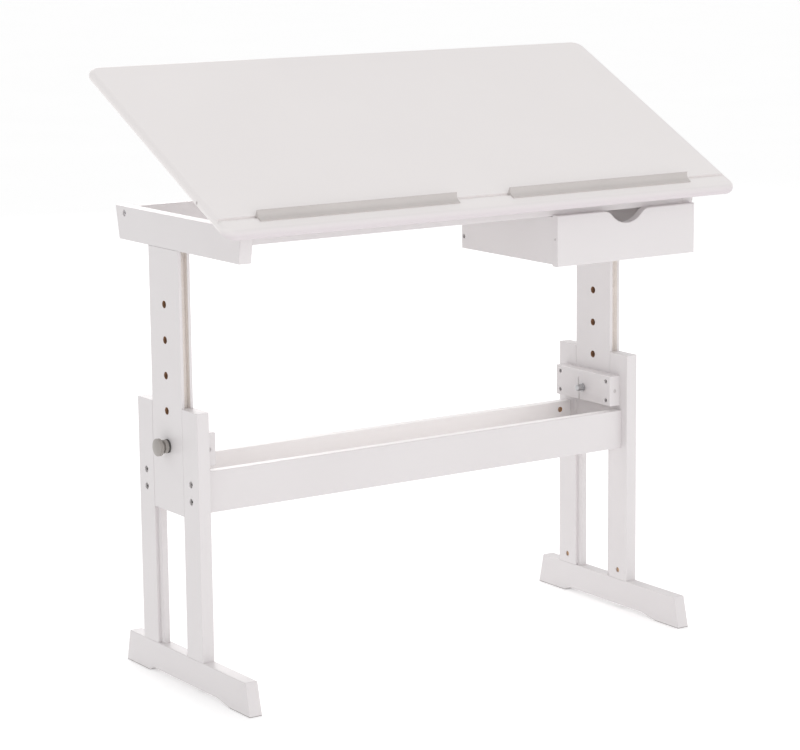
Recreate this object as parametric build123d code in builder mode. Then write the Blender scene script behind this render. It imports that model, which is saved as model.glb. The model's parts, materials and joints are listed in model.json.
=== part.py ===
"""Height- and tilt-adjustable drafting table: two post-and-board legs, a frame that slides up and
down between the posts, a tilting board on two clevis hinges with a folding prop, a hanging drawer.

Millimetres. +Z is up, +X is the user's right and the user sits at -Y. The origin is on the floor,
under the middle of the table's outline.
"""

import os
from math import cos, radians, sin

from build123d import *

# --- Driving dimensions: the tilting board -------------------------------------------------------
TOP_WIDTH = 1090.0
TOP_DEPTH = 544.0
TOP_THICK = 18.0
TOP_CORNER = 24.0
TOP_EDGE_ROUND = 8.5
TILT = 27.0
TOP_FRONT_REACH = 62.0  # board ahead of the hinge pins, along the board
GROOVE_FROM_EDGE = 42.0
GROOVE_WIDTH = 8.0
GROOVE_DEPTH = 3.5
LEDGE_LENGTH = 402.0
LEDGE_LEFT_AT = -268.0
LEDGE_RIGHT_AT = 248.0
LEDGE_CREST = 4.5  # behind the groove's middle
LEDGE_HEIGHT = 12.5
LEDGE_LIP = 14.0  # lip's front edge ahead of the groove's middle
LEDGE_LIP_THICK = 2.2
EDGE_PLUG_FROM_EDGE = 110.0
EDGE_PLUG_R = 3.0

# --- Driving dimensions: legs --------------------------------------------------------------------
SIDE_OVERHANG = 59.0  # board beyond the legs, each side
LEG_THICK = 24.0
FOOT_HEIGHT = 58.5
FOOT_FRONT = 266.0  # reach ahead of the post line, at the floor
FOOT_REAR = 174.0
FOOT_SLANT = 14.0
FOOT_PAD_FRONT = 68.0
FOOT_PAD_REAR = 84.0
FOOT_RECESS = 8.0
FRONT_RAMP = 44.0  # under the foot, from its front pad up to the recess
REAR_RAMP = 14.0
POST_DEPTH = 53.5
POST_TOP = 505.0
BOARD_WIDTH = 107.0
BOARD_BOTTOM = 312.5
TONGUE_THICK = 11.5
TONGUE_DEPTH = 11.5
LOCK_Z = 430.5
HOLE_PITCH = 63.2
HOLES_ABOVE = 4
HOLE_R = 6.5
BLOCK_THICK = 24.5
BLOCK_LENGTH = 170.0
BLOCK_BOTTOM = 405.0
BLOCK_HEIGHT = 58.5

# --- Driving dimensions: trough ------------------------------------------------------------------
TROUGH_BOARD = 19.0
TROUGH_BOTTOM = 322.0
TROUGH_FRONT_HEIGHT = 74.0
TROUGH_REAR_HEIGHT = 69.0
TROUGH_FLOOR = 12.0

# --- Driving dimensions: sliding frame -----------------------------------------------------------
APRON_BOTTOM = 782.5
APRON_HEIGHT = 60.0
APRON_FRONT = 260.0
APRON_REAR = 157.5
APRON_SLANT = 11.0
RAIL_SETBACK = 5.0
FRONT_RAIL_THICK = 28.5
FRONT_RAIL_DEPTH = 45.0
REAR_RAIL_THICK = 19.0
REAR_RAIL_SETBACK = 11.0
PROP_RAIL_THICK = 20.0
PROP_RAIL_HEIGHT = 22.0

# --- Driving dimensions: hinges and prop ---------------------------------------------------------
HINGE_SETBACK = 4.0  # pin behind the front rail's front face
HINGE_RISE = 6.0  # pin above the frame
HINGE_DROP = 10.0  # board's underside above the pin, when flat
HINGE_AT = 330.0  # hinges from the middle
HINGE_PIN_R = 2.5
PROP_REACH = 190.0  # pin to pin, on the board and along the prop
PROP_HALF_WIDTH = 95.0
PROP_ARM_THICK = 12.0
PROP_ARM_HEIGHT = 16.0
FOOT_BAR_R = 4.0
HINGE_METAL = 2.5
HINGE_PLATE = 46.0
HINGE_PLATE_REACH = 44.0
HINGE_EAR_R = 5.5
HINGE_EARS_APART = 22.0
HINGE_TONGUE = 14.0
HINGE_SLOT = 1.5
HINGE_PIN = 30.0
PROP_FLANGE = 14.0
PROP_PIN = 24.0
PROP_STRETCHER = 26.0
RACK_THICK = 8.0
RACK_GAP = 3.0
RACK_HEIGHT = 20.0
RACK_NOTCH = 4.0
RACK_LENGTH = 84.0
RACK_TEETH = 8
RACK_AHEAD = 34.0
BATTEN_START = 14.0  # along the board, from the hinge pins
BATTEN_END = 430.0
BATTEN_AT = 250.0
BATTEN_WIDTH = 44.0
BATTEN_THICK = 15.5

# --- Driving dimensions: drawer ------------------------------------------------------------------
DRAWER_FRONT_WIDTH = 317.0
DRAWER_RAIL_LAP = 17.0  # front over the side rail's end
DRAWER_FRONT_THICK = 15.5
DRAWER_FRONT_HEIGHT = 92.5
DRAWER_FRONT_LAP = 3.0  # front lower than the sides
DRAWER_LENGTH = 281.0
DRAWER_SIDE = 13.0
DRAWER_BACK_THICK = 12.0
DRAWER_BACK_DROP = 18.0
DRAWER_FLOOR = 5.0
DRAWER_FLOOR_UP = 9.0
DRAWER_UNDER_RAIL = 1.3
DRAWER_FRONT_RISE = 3.0  # front above the sides, over the front rail
DRAWER_APRON_GAP = 7.0
DRAWER_GROOVE = 5.0
DRAWER_SCREW_UP = 23.0  # above the sides' lower edge
HANGER_FLANGE = 20.0
HANGER_UNDER_RAIL = 34.0
SCOOP_HALF_WIDTH = 53.0
SCOOP_DEPTH = 24.0
PIN_R = 2.0  # in the ends of the drawer's front
PIN_DEEP = 12.0
STRIP_WIDTH = 10.0
STRIP_HEIGHT = 11.0
HANGER_METAL = 2.5

# --- Small rounds, plugs and screws --------------------------------------------------------------
LEG_EASE = 1.5
EASE = 1.2
BLOCK_ROUND = 1.5
PLUG_R = 3.5
PLUG_SUNK = 1.0
PLUG_DEEP = 9.0
EDGE_PLUG_DEEP = 10.0
SCREW_BITE = 16.0
SCREW_SPARE = 1.0
FRONT_EASE = 2.0

# --- Driving dimensions: height locks ------------------------------------------------------------
LOCK_BOLT_R = 5.0
STUD_R = 4.0
LOCK_SPLIT = 0.3  # bolt and stud stop this far from the plane between board and block
KNOB_GAP = 0.3
WASHER_R = 12.5
WASHER_THICK = 2.5
WASHER_EASE = 0.8
KNOB_FLANGE_R = 12.3
KNOB_FLANGE = 7.0
KNOB_NECK_R = 8.0
KNOB_LENGTH = 21.5
KNOB_DISC = 9.0
KNOB_DISC_R = 15.8
KNOB_DOME = 2.0
KNOB_GRIP = 15.0
KNOB_EASE = 1.2
HUB_FLANGE_R = 8.0
HUB_FLANGE = 3.0
HUB_R = 6.0
HUB_LENGTH = 14.0
HUB_GRIP = 7.0
BAR_R = 1.5
BAR_OUT = 10.0
BAR_LENGTH = 44.0
BAR_LEAN = 3.5

# --- Clearances ----------------------------------------------------------------------------------
SLIDE = 0.2  # between flat faces that slide
RUN = 0.05  # radial, pins and bolts in their holes
HANG = 0.3  # drawer hangers
DRAWER_STOP_GAP = 0.3  # closed drawer's front ahead of the side rail's end
RACK_CLEAR = 0.1  # prop's foot bar above the rack's teeth

# --- Fasteners -----------------------------------------------------------------------------------
BOLT_R = 3.0
BOLT_HEAD_R = 5.7
BOLT_HEAD = 4.0
SOCKET_R = 2.9  # across the corners
SOCKET_DEEP = 2.5
HEAD_POCKET_R = 6.0
HEAD_SUNK = 2.0
NUT_R = 5.0
NUT_LENGTH = 14.0
NUT_FROM_END = 26.0
NUT_EMBED = 16.0
BOLT_PAST_NUT = 4.0
CAP_R = 7.5
CAP_THICK = 3.0
DOWEL_R = 4.0
DOWEL_LENGTH = 32.0
DOWEL_SPARE = 1.0
SCREW_R = 2.5
SCREW_HEAD_R = 4.0
SCREW_HEAD = 3.0
SCREW_SUNK = 4.5
SCREW_SOCKET_R = 1.8
SCREW_SOCKET_DEEP = 1.5

# --- Worked out ----------------------------------------------------------------------------------
LEG_OUTER = TOP_WIDTH / 2 - SIDE_OVERHANG
LEG_INNER = LEG_OUTER - LEG_THICK
LEG_MID = LEG_OUTER - LEG_THICK / 2
FRAME_TOP = APRON_BOTTOM + APRON_HEIGHT
RAIL_FRONT = -(APRON_FRONT + APRON_SLANT - RAIL_SETBACK)
HINGE_Y = RAIL_FRONT + HINGE_SETBACK
HINGE_Z = FRAME_TOP + HINGE_RISE
RACK_TOP = HINGE_Z - FOOT_BAR_R - RACK_CLEAR
FRONT_MOST = (
    HINGE_Y
    - (TOP_FRONT_REACH - TOP_THICK / 2) * cos(radians(TILT))
    - (HINGE_DROP + TOP_THICK / 2) * sin(radians(TILT))
    - TOP_THICK / 2
)
LINE = -(FRONT_MOST + FOOT_REAR) / 2  # Y of the post line: it centres the outline on the origin
POST_MID = BOARD_WIDTH / 2 + POST_DEPTH / 2
POST_BACK = BOARD_WIDTH / 2 + POST_DEPTH
TROUGH_BOLT_Z = [TROUGH_BOTTOM + TROUGH_REAR_HEIGHT * share for share in (0.32, 0.77)]
BLOCK_MID = BLOCK_BOTTOM + BLOCK_HEIGHT / 2
BLOCK_SCREW_Y = BLOCK_LENGTH / 2 - 13.0
BLOCK_SCREW_Z = 18.5
FRONT_RAIL_BACK = RAIL_FRONT + FRONT_RAIL_DEPTH
REAR_RAIL_BACK = APRON_REAR - REAR_RAIL_SETBACK
REAR_RAIL_FRONT = REAR_RAIL_BACK - REAR_RAIL_THICK
APRON_BOLT_Y = 31.0
DRAWER_RIGHT = LEG_INNER - DRAWER_APRON_GAP
DRAWER_LEFT = LEG_INNER + DRAWER_RAIL_LAP - DRAWER_FRONT_WIDTH
DRAWER_SIDE_TOP = FRAME_TOP - FRONT_RAIL_THICK - DRAWER_UNDER_RAIL
DRAWER_TOP = DRAWER_SIDE_TOP + DRAWER_FRONT_RISE  # top of its front
DRAWER_SIDE_BOTTOM = DRAWER_TOP - DRAWER_FRONT_HEIGHT + DRAWER_FRONT_LAP
DRAWER_FRONT_BACK = (
    -APRON_FRONT - APRON_SLANT * (DRAWER_TOP - APRON_BOTTOM) / APRON_HEIGHT - DRAWER_STOP_GAP
)  # rear face of the drawer's front, just clear of the side rail's sloping end
DRAWER_BACK_END = DRAWER_FRONT_BACK + DRAWER_LENGTH
SIDES = {"left": -1, "right": 1}

os.makedirs("parts", exist_ok=True)


def keep(name, piece):
    """Labels a finished piece and writes it as its own file."""
    piece.part.label = name
    export_step(piece.part, f"parts/{name}.step")


def across(x, y, z, towards):
    """A plane at a point given from the post line, looking along X: towards is +1 or -1."""
    return Plane((x, LINE + y, z), x_dir=(0, 1, 0), z_dir=(towards, 0, 0))


def profile(x):
    """A plane for outlines seen from the side, whose points are (Y from the post line, Z)."""
    return Plane((x, LINE, 0), x_dir=(0, 1, 0), z_dir=(1, 0, 0))


def span(side, near, far):
    """The X range between two distances from the middle, on the left (-1) or the right (+1)."""
    return (min(side * near, side * far), max(side * near, side * far))


def upright(x, y, z, towards=1):
    """A plane at a point given from the post line, looking up (+1) or down (-1)."""
    return Plane((x, LINE + y, z), x_dir=(1, 0, 0), z_dir=(0, 0, towards))


def lengthways(x, y, z, towards=1):
    """A plane at a point given from the post line, looking back (+1) or at the user (-1)."""
    return Plane((x, LINE + y, z), x_dir=(1, 0, 0), z_dir=(0, towards, 0))


def rod(plane, radius, length, mode=Mode.ADD):
    """A round bar along the plane's normal, or a round hole with Mode.SUBTRACT."""
    with BuildSketch(plane) as section:
        Circle(radius)
    extrude(section.sketch, amount=length, mode=mode)


def socket(plane, radius, depth):
    """A hexagonal socket sunk into a head's face."""
    with BuildSketch(plane) as section:
        RegularPolygon(radius, 6)
    extrude(section.sketch, amount=depth, mode=Mode.SUBTRACT)


def slab(x_range, y_range, z_range, mode=Mode.ADD):
    """A rectangular block, with Y given from the post line."""
    middle = ((x_range[0] + x_range[1]) / 2, LINE + (y_range[0] + y_range[1]) / 2)
    with BuildSketch(Plane.XY.offset(z_range[0])) as section:
        with Locations(middle):
            Rectangle(x_range[1] - x_range[0], y_range[1] - y_range[0])
    extrude(section.sketch, amount=z_range[1] - z_range[0], mode=mode)


def bolt(plane, length):
    """A sunk-head bolt: the plane is at the mouth of its pocket and looks into the wood."""
    rod(plane.offset(HEAD_SUNK), BOLT_HEAD_R, BOLT_HEAD)
    rod(plane.offset(HEAD_SUNK + BOLT_HEAD), BOLT_R, length - BOLT_HEAD)
    socket(plane.offset(HEAD_SUNK), SOCKET_R, SOCKET_DEEP)


def bolt_hole(plane, depth):
    """The hole for such a bolt, with its head pocket."""
    rod(plane, HEAD_POCKET_R, HEAD_SUNK + BOLT_HEAD, Mode.SUBTRACT)
    rod(plane, BOLT_R + RUN, depth, Mode.SUBTRACT)


def screw(plane, reach):
    """A sunk-head wood screw whose point stops a little short of its hole's end at reach."""
    rod(plane.offset(SCREW_SUNK), SCREW_HEAD_R, SCREW_HEAD)
    rod(plane.offset(SCREW_SUNK + SCREW_HEAD), SCREW_R, reach - SCREW_SUNK - SCREW_HEAD - SCREW_SPARE)
    socket(plane.offset(SCREW_SUNK), SCREW_SOCKET_R, SCREW_SOCKET_DEEP)


def screw_hole(plane, depth):
    """The hole for such a screw through the piece that it holds, with its head pocket."""
    rod(plane, SCREW_HEAD_R + RUN, SCREW_SUNK + SCREW_HEAD, Mode.SUBTRACT)
    rod(plane, SCREW_R + RUN, depth, Mode.SUBTRACT)


# --- Places shared by a hole and what fits it ----------------------------------------------------
def trough_bolts(side):
    """Mouths of the bolts through the posts into the trough's boards."""
    return [
        across(side * LEG_OUTER, y, z, -side)
        for y in (-POST_MID, POST_MID)
        for z in TROUGH_BOLT_Z
    ]


def trough_nuts(side):
    """Mouths of the cross dowels in the trough's boards, on the faces towards the trough."""
    x = side * (LEG_INNER - NUT_FROM_END)
    front = [lengthways(x, -POST_MID + TROUGH_BOARD / 2, z, -1) for z in TROUGH_BOLT_Z]
    rear = [lengthways(x, POST_MID - TROUGH_BOARD / 2, z, 1) for z in TROUGH_BOLT_Z]
    return front, rear


def foot_bolts(side):
    """Mouths of the bolts up through a foot into its posts."""
    return [upright(side * LEG_MID, y, FOOT_RECESS) for y in (-POST_MID, POST_MID)]


def foot_nuts(side):
    """Mouths of the cross dowels at the bottom of the posts' inner faces."""
    z = FOOT_HEIGHT + NUT_FROM_END - HEAD_SUNK * 4
    return [across(side * LEG_INNER, y, z, side) for y in (-POST_MID, POST_MID)]


def block_screws(side):
    """Mouths of the screws through a cross block into the posts."""
    x = side * (LEG_INNER - BLOCK_THICK)
    return [
        across(x, y, BLOCK_MID + z, side)
        for y in (-BLOCK_SCREW_Y, BLOCK_SCREW_Y)
        for z in (-BLOCK_SCREW_Z, BLOCK_SCREW_Z)
    ]


def block_plug_seats(side):
    """Mouths of the plugs in both ends of a cross block."""
    x = side * (LEG_INNER - BLOCK_THICK / 2)
    return [lengthways(x, end * BLOCK_LENGTH / 2, BLOCK_MID, -end) for end in (-1, 1)]


def edge_plug_seat(side):
    """Mouth of the plug in a short edge of the tilting board."""
    along = EDGE_PLUG_FROM_EDGE - TOP_FRONT_REACH
    corner = Vector(side * TOP_WIDTH / 2, along, HINGE_DROP + TOP_THICK / 2)
    return Plane(tilted.from_local_coords(corner), x_dir=tilted.y_dir, z_dir=(-side, 0, 0))


def front_pin_seats():
    """Mouths of the pins in both ends of the drawer's front."""
    y = DRAWER_FRONT_BACK - DRAWER_FRONT_THICK / 2
    z = DRAWER_SIDE_BOTTOM + DRAWER_FRONT_HEIGHT / 2
    ends = ((DRAWER_LEFT, 1), (DRAWER_LEFT + DRAWER_FRONT_WIDTH, -1))
    return [across(x, y, z, inwards) for x, inwards in ends]


def drawer_screw_seat(outer, inwards):
    """Mouth of the screw through a drawer side into the drawer's back."""
    y = DRAWER_BACK_END - DRAWER_BACK_THICK / 2
    return across(outer, y, DRAWER_SIDE_BOTTOM + DRAWER_SCREW_UP, inwards)


def apron_bolts(side):
    """Mouths of the long bolts down through an apron into the end of its sliding board."""
    return [upright(side * LEG_MID, y, FRAME_TOP, -1) for y in (-APRON_BOLT_Y, APRON_BOLT_Y)]


def rail_bolts(side):
    """Mouths of the bolts through an apron into the ends of the front and rear rails."""
    front = across(side * LEG_OUTER, RAIL_FRONT + 14.0, FRAME_TOP - FRONT_RAIL_THICK / 2, -side)
    rear = across(side * LEG_OUTER, REAR_RAIL_FRONT + REAR_RAIL_THICK / 2, FRAME_TOP - 12.0, -side)
    return [front, rear]


def rail_dowels(side):
    """Outer ends of the wooden dowels beside those bolts, half in the side rail, half beyond it."""
    inside = side * (LEG_INNER + DOWEL_LENGTH / 2)
    front = across(inside, RAIL_FRONT + 31.0, FRAME_TOP - FRONT_RAIL_THICK / 2, -side)
    rear = across(inside, REAR_RAIL_FRONT + REAR_RAIL_THICK / 2, FRAME_TOP - 42.0, -side)
    return [front, rear]


TROUGH_BOLT_LENGTH = LEG_THICK - HEAD_SUNK + NUT_FROM_END + BOLT_PAST_NUT
FOOT_BOLT_LENGTH = FOOT_HEIGHT - FOOT_RECESS + NUT_FROM_END - HEAD_SUNK * 5 + NUT_R
APRON_BOLT_LENGTH = APRON_HEIGHT + 50.0
RAIL_BOLT_LENGTH = LEG_THICK + 40.0

tilted = Plane(
    (0, LINE + HINGE_Y, HINGE_Z),
    x_dir=(1, 0, 0),
    z_dir=(0, -sin(radians(TILT)), cos(radians(TILT))),
)  # the board's own plane, through the hinge pins
underside = tilted.offset(HINGE_DROP)
prop_pin_y = HINGE_Y + PROP_REACH * cos(radians(TILT))
prop_pin_z = HINGE_Z + PROP_REACH * sin(radians(TILT))
prop_foot_y = HINGE_Y + 2 * PROP_REACH * cos(radians(TILT))
leaning = Plane(
    (0, LINE + prop_pin_y, prop_pin_z),
    x_dir=(1, 0, 0),
    z_dir=(0, sin(radians(TILT)), cos(radians(TILT))),
)  # the prop's own plane, from its pins down to its foot

# === Legs ========================================================================================
for word, side in SIDES.items():
    leg_x = span(side, LEG_INNER, LEG_OUTER)

    with BuildPart() as foot:
        with BuildSketch(profile(leg_x[0])):
            with BuildLine():
                Polyline(
                    (-FOOT_FRONT, 0),
                    (-FOOT_FRONT + FOOT_PAD_FRONT, 0),
                    (-FOOT_FRONT + FOOT_PAD_FRONT + FRONT_RAMP, FOOT_RECESS),
                    (FOOT_REAR - FOOT_PAD_REAR - REAR_RAMP, FOOT_RECESS),
                    (FOOT_REAR - FOOT_PAD_REAR, 0),
                    (FOOT_REAR, 0),
                    (FOOT_REAR - FOOT_SLANT, FOOT_HEIGHT),
                    (-FOOT_FRONT + FOOT_SLANT, FOOT_HEIGHT),
                    close=True,
                )
            make_face()
        extrude(amount=LEG_THICK)
        for mouth in foot_bolts(side):
            bolt_hole(mouth, FOOT_HEIGHT)
        fillet(foot.edges().filter_by(GeomType.LINE).group_by(Axis.Z)[-1], LEG_EASE)
    keep(f"foot_{word}", foot)

    for place, facing in (("front", 1), ("rear", -1)):
        outer_y = -facing * POST_BACK
        inner_y = -facing * BOARD_WIDTH / 2
        tongue_x = span(side, LEG_MID - TONGUE_THICK / 2, LEG_MID + TONGUE_THICK / 2)
        with BuildPart() as post:
            slab(leg_x, sorted((outer_y, inner_y)), (FOOT_HEIGHT, POST_TOP))
            fillet(post.edges().filter_by(Axis.Z), LEG_EASE)
            slab(
                tongue_x,
                sorted((inner_y - facing * POST_DEPTH / 4, inner_y + facing * TONGUE_DEPTH)),
                (FOOT_HEIGHT, POST_TOP),
            )
            y = -facing * POST_MID
            for mouth in trough_bolts(side) + foot_nuts(side):
                if abs(mouth.origin.Y - LINE - y) < POST_DEPTH / 2:
                    if mouth.origin.Z > FOOT_HEIGHT + POST_DEPTH:
                        bolt_hole(mouth, LEG_THICK)
                    else:
                        rod(mouth, NUT_R + RUN, NUT_EMBED, Mode.SUBTRACT)
            rod(
                upright(side * LEG_MID, y, FOOT_HEIGHT),
                BOLT_R + RUN,
                FOOT_BOLT_LENGTH - FOOT_HEIGHT + FOOT_RECESS + NUT_R,
                Mode.SUBTRACT,
            )
            for mouth in block_screws(side):
                if abs(mouth.origin.Y - LINE - y) < POST_DEPTH / 2:
                    rod(mouth.offset(BLOCK_THICK), SCREW_R + RUN, SCREW_BITE, Mode.SUBTRACT)
        keep(f"{place}_post_{word}", post)

    block_x = span(side, LEG_INNER - BLOCK_THICK, LEG_INNER)
    with BuildPart() as cross_block:
        slab(
            block_x,
            (-BLOCK_LENGTH / 2, BLOCK_LENGTH / 2),
            (BLOCK_BOTTOM, BLOCK_BOTTOM + BLOCK_HEIGHT),
        )
        fillet(cross_block.faces().sort_by(Axis.X)[0 if side > 0 else -1].edges(), BLOCK_ROUND)
        block_face = across(side * (LEG_INNER - BLOCK_THICK), 0, LOCK_Z, side)
        rod(block_face, STUD_R + RUN, BLOCK_THICK, Mode.SUBTRACT)
        for mouth in block_screws(side):
            screw_hole(mouth, BLOCK_THICK)
        for mouth in block_plug_seats(side):
            rod(mouth, PLUG_R + RUN, PLUG_DEEP, Mode.SUBTRACT)
    keep(f"cross_block_{word}", cross_block)

# === Trough between the legs =====================================================================
trough_x = (-LEG_INNER, LEG_INNER)
trough_front_y = (-POST_MID - TROUGH_BOARD / 2, -POST_MID + TROUGH_BOARD / 2)
trough_rear_y = (POST_MID - TROUGH_BOARD / 2, POST_MID + TROUGH_BOARD / 2)
boards = (
    ("trough_front", trough_front_y, TROUGH_FRONT_HEIGHT, 0, -1),
    ("trough_rear", trough_rear_y, TROUGH_REAR_HEIGHT, 1, 1),
)
for name, y_range, height, nuts_at, outward in boards:
    with BuildPart() as trough_board:
        slab(trough_x, y_range, (TROUGH_BOTTOM, TROUGH_BOTTOM + height))
        fillet(trough_board.edges().filter_by(Axis.X), EASE)
        for side in SIDES.values():
            for mouth in trough_bolts(side):
                if y_range[0] < mouth.origin.Y - LINE < y_range[1]:
                    depth = NUT_FROM_END + BOLT_PAST_NUT + NUT_R
                    rod(mouth.offset(LEG_THICK), BOLT_R + RUN, depth, Mode.SUBTRACT)
            for mouth in trough_nuts(side)[nuts_at]:
                rod(mouth, NUT_R + RUN, NUT_EMBED, Mode.SUBTRACT)
    keep(name, trough_board)

with BuildPart() as trough_floor:
    slab(
        (-LEG_INNER + SLIDE * 5, LEG_INNER - SLIDE * 5),
        (trough_front_y[1], trough_rear_y[0]),
        (TROUGH_BOTTOM, TROUGH_BOTTOM + TROUGH_FLOOR),
    )
keep("trough_floor", trough_floor)

# === What holds the base together ================================================================
with BuildPart() as base_bolts:
    for side in SIDES.values():
        for mouth in trough_bolts(side):
            bolt(mouth, TROUGH_BOLT_LENGTH)
        for mouth in foot_bolts(side):
            bolt(mouth, FOOT_BOLT_LENGTH)
keep("base_bolts", base_bolts)

with BuildPart() as cross_dowels:
    for side in SIDES.values():
        for mouth in foot_nuts(side) + trough_nuts(side)[0] + trough_nuts(side)[1]:
            rod(mouth.offset(NUT_EMBED - NUT_LENGTH), NUT_R, NUT_LENGTH)
        for mouth in trough_bolts(side):
            rod(mouth.offset(LEG_THICK), BOLT_R + RUN, NUT_FROM_END + 2 * NUT_R, Mode.SUBTRACT)
        for mouth in foot_bolts(side):
            rod(mouth, BOLT_R + RUN, FOOT_BOLT_LENGTH + 2 * NUT_R, Mode.SUBTRACT)
keep("cross_dowels", cross_dowels)

with BuildPart() as block_fixings:
    for side in SIDES.values():
        for mouth in block_screws(side):
            screw(mouth, BLOCK_THICK + SCREW_BITE)
keep("block_screws", block_fixings)

with BuildPart() as block_plugs:
    for side in SIDES.values():
        for mouth in block_plug_seats(side):
            rod(mouth.offset(PLUG_SUNK), PLUG_R, PLUG_DEEP - PLUG_SUNK)
keep("block_plugs", block_plugs)

# === Height locks: knob and bolt outside, hub and tommy bar inside ===============================
for word, side in SIDES.items():
    outward = across(side * (LEG_OUTER + KNOB_GAP), 0, LOCK_Z, side)
    with BuildPart() as knob_washer:
        rod(outward, WASHER_R, WASHER_THICK)
        rod(outward, LOCK_BOLT_R + RUN, WASHER_THICK, Mode.SUBTRACT)
        outer_rims = knob_washer.edges().group_by(Axis.X)[-1 if side > 0 else 0]
        fillet(outer_rims.sort_by(SortBy.RADIUS)[-1], WASHER_EASE)
    keep(f"knob_washer_{word}", knob_washer)

    with BuildPart() as knob:
        knob_face = outward.offset(WASHER_THICK).origin
        with BuildSketch(Plane(knob_face, x_dir=(side, 0, 0), z_dir=(0, -side, 0))):
            with BuildLine():
                Polyline(
                    (0, 0),
                    (0, KNOB_FLANGE_R),
                    (KNOB_FLANGE, KNOB_FLANGE_R),
                    (KNOB_FLANGE, KNOB_NECK_R),
                    (KNOB_LENGTH - KNOB_DISC, KNOB_NECK_R),
                    (KNOB_LENGTH - KNOB_DISC, KNOB_DISC_R),
                    (KNOB_LENGTH - KNOB_DOME, KNOB_DISC_R),
                )
                ThreePointArc(
                    (KNOB_LENGTH - KNOB_DOME, KNOB_DISC_R),
                    (KNOB_LENGTH - KNOB_DOME * 0.25, KNOB_DISC_R * 0.5),
                    (KNOB_LENGTH, 0),
                )
                Line((KNOB_LENGTH, 0), (0, 0))
            make_face()
        revolve(axis=Axis((0, LINE, LOCK_Z), (1, 0, 0)))
        rod(outward.offset(WASHER_THICK), LOCK_BOLT_R + RUN, KNOB_GRIP, Mode.SUBTRACT)
        rims = knob.edges().filter_by(GeomType.CIRCLE)
        fillet(rims.filter_by(lambda rim: rim.radius > KNOB_NECK_R + KNOB_EASE / 2), KNOB_EASE)
    keep(f"lock_knob_{word}", knob)

    with BuildPart() as lock_bolt:
        start = across(side * (LEG_INNER + SLIDE + LOCK_SPLIT), 0, LOCK_Z, side)
        rod(start, LOCK_BOLT_R, LEG_THICK - SLIDE - LOCK_SPLIT + KNOB_GAP + WASHER_THICK + KNOB_GRIP)
    keep(f"lock_bolt_{word}", lock_bolt)

    inward = across(side * (LEG_INNER - BLOCK_THICK - KNOB_GAP), 0, LOCK_Z, -side)
    with BuildPart() as lock_stud:
        stud_in_block = BLOCK_THICK + KNOB_GAP - LOCK_SPLIT
        rod(inward.offset(-stud_in_block), STUD_R, stud_in_block + HUB_GRIP)
    keep(f"lock_stud_{word}", lock_stud)

    with BuildPart() as lock_hub:
        rod(inward, HUB_FLANGE_R, HUB_FLANGE)
        rod(inward.offset(HUB_FLANGE), HUB_R, HUB_LENGTH - HUB_FLANGE)
        fillet(lock_hub.edges().group_by(Axis.X)[0 if side > 0 else -1], KNOB_EASE)
        rod(inward, STUD_R + RUN, HUB_GRIP, Mode.SUBTRACT)
        bar_plane = Plane(
            (side * (LEG_INNER - BLOCK_THICK - KNOB_GAP - BAR_OUT), LINE, LOCK_Z),
            x_dir=(1, 0, 0),
            z_dir=(0, sin(radians(BAR_LEAN)), cos(radians(BAR_LEAN))),
        )
        rod(bar_plane.offset(-HUB_R - 1.0), BAR_R + RUN, 2 * HUB_R + 2.0, Mode.SUBTRACT)
    keep(f"lock_hub_{word}", lock_hub)

    with BuildPart() as tommy_bar:
        rod(bar_plane.offset(-BAR_LENGTH / 2), BAR_R, BAR_LENGTH)
        fillet(tommy_bar.edges(), BAR_R * 0.6)
    keep(f"tommy_bar_{word}", tommy_bar)

# === Sliding frame ===============================================================================
for word, side in SIDES.items():
    slide_x = span(side, LEG_INNER + SLIDE, LEG_OUTER - SLIDE)
    with BuildPart() as sliding_board:
        slab(slide_x, (-BOARD_WIDTH / 2 + SLIDE, BOARD_WIDTH / 2 - SLIDE), (BOARD_BOTTOM, APRON_BOTTOM))
        fillet(sliding_board.edges().filter_by(Axis.Z), LEG_EASE)
        groove_x = span(side, LEG_MID - TONGUE_THICK / 2 - SLIDE, LEG_MID + TONGUE_THICK / 2 + SLIDE)
        for facing in (-1, 1):
            groove_y = sorted((facing * (BOARD_WIDTH / 2 - TONGUE_DEPTH - 2 * SLIDE), facing * BOARD_WIDTH))
            slab(groove_x, groove_y, (BOARD_BOTTOM, APRON_BOTTOM), Mode.SUBTRACT)
        for step in range(HOLES_ABOVE + 1):
            rod(
                across(side * LEG_OUTER, 0, LOCK_Z + step * HOLE_PITCH, -side),
                HOLE_R,
                LEG_THICK,
                Mode.SUBTRACT,
            )
        for mouth in apron_bolts(side):
            rod(mouth, BOLT_R + RUN, APRON_BOLT_LENGTH + CAP_THICK, Mode.SUBTRACT)
    keep(f"sliding_board_{word}", sliding_board)

    apron_x = span(side, LEG_INNER, LEG_OUTER)
    with BuildPart() as apron:
        with BuildSketch(profile(apron_x[0])):
            with BuildLine():
                Polyline(
                    (-APRON_FRONT, APRON_BOTTOM),
                    (APRON_REAR, APRON_BOTTOM),
                    (APRON_REAR + APRON_SLANT, FRAME_TOP),
                    (-APRON_FRONT - APRON_SLANT, FRAME_TOP),
                    close=True,
                )
            make_face()
        extrude(amount=LEG_THICK)
        fillet(apron.edges().filter_by(Axis.Y), LEG_EASE)
        for mouth in apron_bolts(side):
            rod(mouth, CAP_R + RUN, CAP_THICK + BOLT_HEAD, Mode.SUBTRACT)
            rod(mouth, BOLT_R + RUN, APRON_HEIGHT, Mode.SUBTRACT)
        for mouth in rail_bolts(side):
            bolt_hole(mouth, LEG_THICK)
        for end in rail_dowels(side):
            rod(end.offset(-DOWEL_SPARE), DOWEL_R + RUN, DOWEL_LENGTH, Mode.SUBTRACT)
    keep(f"side_rail_{word}", apron)

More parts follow.
